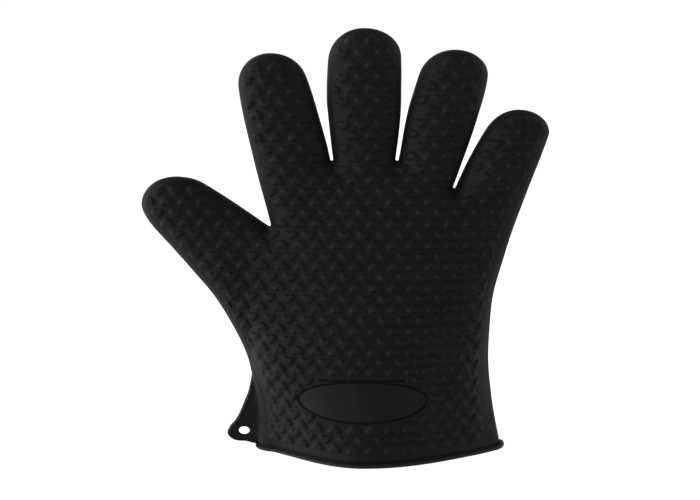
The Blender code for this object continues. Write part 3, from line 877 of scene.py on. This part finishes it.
def smooth_loop(corners, spacing):
    """A closed smooth line through the corners."""
    corners = np.array(corners)
    found = []
    for i in range(len(corners)):
        a, b, c, d = (corners[(i + k) % len(corners)] for k in (-1, 0, 1, 2))
        count = max(3, round(np.linalg.norm(c - b) / spacing))
        slope, curve, twist = c - a, 2 * a - 5 * b + 4 * c - d, 3 * b - a - 3 * c + d
        for t in np.arange(count) / count:
            found.append(0.5 * (2 * b + slope * t + curve * t**2 + twist * t**3))
    return np.array(found)


def build_tab():
    """The hanging tab: a thin web with a thicker border and an oval hole, joined to the side of the cuff."""
    border = smooth_loop(TAB_CORNERS, TAB_SPACING)
    turn = np.linspace(0, -2 * math.pi, TAB_HOLE_POINTS, endpoint=False)
    circle = np.column_stack([np.cos(turn), np.sin(turn)])
    hole = np.array(TAB_HOLE_CENTRE) + np.array(TAB_HOLE_HALF_SIZE) * circle
    lines = []
    for ring in TAB_RINGS:
        lines.append(moved_right(border, ring))
        if ring < TAB_LAST_HOLE_RING:
            lines.append(moved_right(hole, ring))
    flat = np.vstack(lines)
    bonds = []
    begin = 0
    for line in lines:
        bonds += [(begin + i, begin + (i + 1) % len(line)) for i in range(len(line))]
        begin += len(line)
    xs, zs = np.arange(*TAB_GRID_X, TAB_GRID), np.arange(*TAB_GRID_Z, TAB_GRID)
    grid = np.array([(x, z) for x in xs for z in zs])
    rim = np.vstack([border, border[:1]])
    around = np.vstack([hole, hole[:1]])
    grid = grid[inside_of(rim, grid) & ~inside_of(around, grid)]
    flat = np.vstack([flat, clear_of(grid, flat, LINE_SPACING)])
    found = delaunay_2d_cdt([Vector(p) for p in flat], bonds, [], 0, SAME_PLACE)
    points = np.array([tuple(v) for v in found[0]])
    faces = np.array(found[2])
    middles = points[faces].mean(1)
    faces = faces[inside_of(rim, middles) & ~inside_of(around, middles)]
    used, faces = np.unique(faces, return_inverse=True)
    points, faces = points[used], faces.reshape(-1, 3)
    from_border = distance_to(rim, points)
    from_hole = distance_to(around, points)
    near = np.minimum(from_border, from_hole)
    rounding = np.sqrt(1 - (1 - np.clip(near / TAB_ROUNDING, 0, 1)) ** 2)
    bead = 1 - smooth((from_border - TAB_BORDER[0]) / TAB_BORDER[1])
    bead = np.maximum(bead, 1 - smooth((from_hole - TAB_HOLE_BORDER[0]) / TAB_HOLE_BORDER[1]))
    depth = (TAB_WEB + (TAB_BEAD - TAB_WEB) * bead) * rounding
    edges = np.vstack([rim, [FAR_AWAY], around])
    vertices, joined = two_faced(points, faces, edges, depth)
    return mesh_object("hang_tab_web", vertices, joined, vertex_normals(vertices, joined))


# ---- Silicone ----

MOTTLE_SCALE = 70
GLOSS_SCALE = 45
DUST_SCALE = 900
PORE_SCALE = 520
GRAIN_SCALE = 2600
GRAIN_SHARE = 0.35
BUMP_STRENGTH = 0.35
BUMP_DISTANCE = 0.00012
SILICONE_IOR = 1.42


def silicone(name, shade, roughness, mottle):
    """Satin black silicone: a slightly uneven tone and gloss, with a fine skin of moulding grain and dust."""
    material = bpy.data.materials.new(name)
    material.use_nodes = True
    nodes, links = material.node_tree.nodes, material.node_tree.links
    surface = nodes["Principled BSDF"]
    surface.inputs["IOR"].default_value = SILICONE_IOR
    where = nodes.new("ShaderNodeTexCoord")

    def noise(scale, detail):
        node = nodes.new("ShaderNodeTexNoise")
        node.inputs["Scale"].default_value = scale
        node.inputs["Detail"].default_value = detail
        node.inputs["Roughness"].default_value = 0.55
        links.new(where.outputs["Object"], node.inputs["Vector"])
        return node.outputs["Fac"]

    def spread(source, low, high):
        node = nodes.new("ShaderNodeMapRange")
        node.inputs["From Min"].default_value = 0.3
        node.inputs["From Max"].default_value = 0.7
        node.inputs["To Min"].default_value = low
        node.inputs["To Max"].default_value = high
        links.new(source, node.inputs["Value"])
        return node.outputs["Result"]

    tone = nodes.new("ShaderNodeMixRGB")
    tone.inputs["Color1"].default_value = (*[part * (1 - mottle) for part in shade], 1)
    tone.inputs["Color2"].default_value = (*[part * (1 + mottle) for part in shade], 1)
    links.new(spread(noise(MOTTLE_SCALE, 4), 0, 1), tone.inputs["Fac"])
    links.new(tone.outputs["Color"], surface.inputs["Base Color"])
    gloss = nodes.new("ShaderNodeMath")
    gloss.operation = "ADD"
    links.new(spread(noise(GLOSS_SCALE, 3), roughness - 0.04, roughness + 0.05), gloss.inputs[0])
    links.new(spread(noise(DUST_SCALE, 2), -0.03, 0.04), gloss.inputs[1])
    links.new(gloss.outputs["Value"], surface.inputs["Roughness"])
    surface.inputs["Sheen Weight"].default_value = 0.03
    surface.inputs["Sheen Roughness"].default_value = 0.5
    height = nodes.new("ShaderNodeMath")
    height.operation = "MULTIPLY_ADD"
    height.inputs[1].default_value = GRAIN_SHARE
    links.new(noise(GRAIN_SCALE, 3), height.inputs[0])
    links.new(noise(PORE_SCALE, 3), height.inputs[2])
    bump = nodes.new("ShaderNodeBump")
    bump.inputs["Strength"].default_value = BUMP_STRENGTH
    bump.inputs["Distance"].default_value = BUMP_DISTANCE
    links.new(height.outputs["Value"], bump.inputs["Height"])
    links.new(bump.outputs["Normal"], surface.inputs["Normal"])
    return material


TEXTURED = silicone("silicone_textured", (0.0083, 0.0086, 0.0084), 0.6, 0.25)
SMOOTH = silicone("silicone_smooth", (0.0095, 0.0098, 0.0097), 0.52, 0.35)
# The bead's silicone has a lighter tone than the rest: painted light, standing in for the light that the pale
# floor throws up onto the bead.
BEAD_PAINTED_FLOOR_LIGHT = silicone("silicone_bead_painted_floor_light", (0.026, 0.0264, 0.0258), 0.42, 0.2)


def finish_piece(item, material, nodes):
    """Give a piece its material, and hide the frame's parts that it takes the place of."""
    item.data.materials.append(material)
    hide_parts(*nodes)


pieces = skin_pieces()
rim_bead = build_rim()
tab_web = build_tab()

bend_with(pieces["skin_cuff"])
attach(pieces["skin_palm"], "palm")
for finger, folds in BENDS.items():
    for part, fold in zip(("base", "middle", "tip"), folds):
        bend_with(pieces[f"skin_{finger}_{part}"])
for part, fold in zip(("base", "middle", "tip"), [SWING, *THUMB_BENDS]):
    bend_with(pieces[f"skin_thumb_{part}"])
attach(pieces["panel"], "cuff")
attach(rim_bead, "cuff")
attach(tab_web, "cuff")

for name, item in pieces.items():
    if name == "panel":
        finish_piece(item, SMOOTH, ["oval_panel"])
    elif name in ("skin_cuff", "skin_palm"):
        finish_piece(item, TEXTURED, [name.replace("skin_", "") + "_shell"])
    else:
        finish_piece(item, TEXTURED, [name.replace("skin_", "")])
finish_piece(rim_bead, BEAD_PAINTED_FLOOR_LIGHT, ["cuff_rim"])
finish_piece(tab_web, SMOOTH, ["hang_tab"])

# ---- Studio, in metres ----

# The studio's soft boxes, as (direction, (cosine where it starts, cosine where it is full, least, most)).
FILL_LOBES = [
    ((-0.97, -0.2, 0.0), (0.1, 0.95, 0.032, 0.85)),
    ((0.97, -0.15, 0.0), (0.1, 0.95, 0.0, 0.36)),
    ((-0.6, 0.8, 0.1), (0.4, 1.0, 0.0, 0.5)),
    ((0.6, 0.8, 0.1), (0.4, 1.0, 0.0, 0.3)),
]
FLOOR_SEEN = 0.95
BACKDROP_SEEN = 1.05
FLOOR_HALF_SIZE = 6.0
FLOOR_SHADE = 0.86

# Each light: place, size, power.
LIGHTS_AIM = (0, 0, 0.12)
KEY_LIGHT = ((-0.95, -0.25, 0.3), (0.8, 1.0), 1.05)
EDGE_LIGHT = ((0.95, -0.15, 0.3), (0.6, 1.0), 0.3)

# The camera, with its lens and sensor in millimetres.
CAMERA_PLACE = (0.00345, -0.5909, 0.2279)
CAMERA_AIM = (0.00345, 0, 0.1237)
CAMERA_LENS = 51.4
CAMERA_SENSOR = 36.0


def plain_floor():
    size = FLOOR_HALF_SIZE
    mesh = bpy.data.meshes.new("floor")
    corners = [(-size, -size, 0), (size, -size, 0), (size, size, 0), (-size, size, 0)]
    mesh.from_pydata(corners, [], [(0, 1, 2, 3)])
    floor = bpy.data.objects.new("floor", mesh)
    bpy.context.scene.collection.objects.link(floor)
    material = bpy.data.materials.new("floor")
    material.use_nodes = True
    tree = material.node_tree
    surface = tree.nodes["Principled BSDF"]
    surface.inputs["Base Color"].default_value = (FLOOR_SHADE, FLOOR_SHADE, FLOOR_SHADE, 1)
    surface.inputs["Roughness"].default_value = 0.9
    surface.inputs["Emission Color"].default_value = (1, 1, 1, 1)
    surface.inputs["Emission Strength"].default_value = FLOOR_SEEN
    shade = tree.nodes.new("ShaderNodeEmission")
    back = tree.nodes.new("ShaderNodeVectorMath")
    back.operation = "SCALE"
    back.inputs["Scale"].default_value = -1.0
    tree.links.new(tree.nodes.new("ShaderNodeNewGeometry").outputs["Incoming"], back.inputs[0])
    tree.links.new(fill_strength(tree, back.outputs["Vector"]), shade.inputs["Strength"])
    seen_apart(tree, surface.outputs[0], shade.outputs[0], tree.nodes["Material Output"].inputs["Surface"])
    mesh.materials.append(material)


def soft_light(name, place, size, power):
    light = bpy.data.lights.new(name, "AREA")
    light.shape = "RECTANGLE"
    light.size, light.size_y = size
    light.energy = power
    item = bpy.data.objects.new(name, light)
    item.location = place
    item.rotation_euler = (Vector(LIGHTS_AIM) - Vector(place)).to_track_quat("-Z", "Y").to_euler()
    bpy.context.scene.collection.objects.link(item)


def fill_strength(tree, direction):
    """How bright the studio is in a direction, as a node output."""
    total = None
    for toward, ramp_values in FILL_LOBES:
        facing = tree.nodes.new("ShaderNodeVectorMath")
        facing.operation = "DOT_PRODUCT"
        facing.inputs[1].default_value = Vector(toward).normalized()
        tree.links.new(direction, facing.inputs[0])
        ramp = tree.nodes.new("ShaderNodeMapRange")
        ramp.interpolation_type = "SMOOTHSTEP"
        for name, value in zip(("From Min", "From Max", "To Min", "To Max"), ramp_values):
            ramp.inputs[name].default_value = value
        tree.links.new(facing.outputs["Value"], ramp.inputs["Value"])
        if total is None:
            total = ramp.outputs["Result"]
        else:
            both = tree.nodes.new("ShaderNodeMath")
            tree.links.new(total, both.inputs[0])
            tree.links.new(ramp.outputs["Result"], both.inputs[1])
            total = both.outputs["Value"]
    return total


def seen_apart(tree, seen, unseen, output):
    """What the camera sees directly is one shader, and what lights the glove is another."""
    mix = tree.nodes.new("ShaderNodeMixShader")
    ray = tree.nodes.new("ShaderNodeLightPath")
    tree.links.new(ray.outputs["Is Camera Ray"], mix.inputs["Fac"])
    tree.links.new(unseen, mix.inputs[1])
    tree.links.new(seen, mix.inputs[2])
    tree.links.new(mix.outputs["Shader"], output)


def build_studio():
    bpy.context.scene.view_settings.view_transform = "Standard"
    plain_floor()
    world = bpy.data.worlds.new("studio")
    bpy.context.scene.world = world
    world.use_nodes = True
    tree = world.node_tree
    backdrop = tree.nodes["Background"]
    backdrop.inputs["Color"].default_value = (1, 1, 1, 1)
    backdrop.inputs["Strength"].default_value = BACKDROP_SEEN
    fill = tree.nodes.new("ShaderNodeBackground")
    fill.inputs["Color"].default_value = (1, 1, 1, 1)
    where = tree.nodes.new("ShaderNodeTexCoord")
    tree.links.new(fill_strength(tree, where.outputs["Generated"]), fill.inputs["Strength"])
    seen_apart(tree, backdrop.outputs[0], fill.outputs[0], tree.nodes["World Output"].inputs["Surface"])
    soft_light("key", *KEY_LIGHT)
    soft_light("edge", *EDGE_LIGHT)
    camera = bpy.data.cameras.new("camera")
    camera.lens = CAMERA_LENS
    camera.sensor_width = CAMERA_SENSOR
    item = bpy.data.objects.new("camera", camera)
    item.location = CAMERA_PLACE
    item.rotation_euler = (Vector(CAMERA_AIM) - item.location).to_track_quat("-Z", "Y").to_euler()
    bpy.context.scene.collection.objects.link(item)
    bpy.context.scene.camera = item


build_studio()
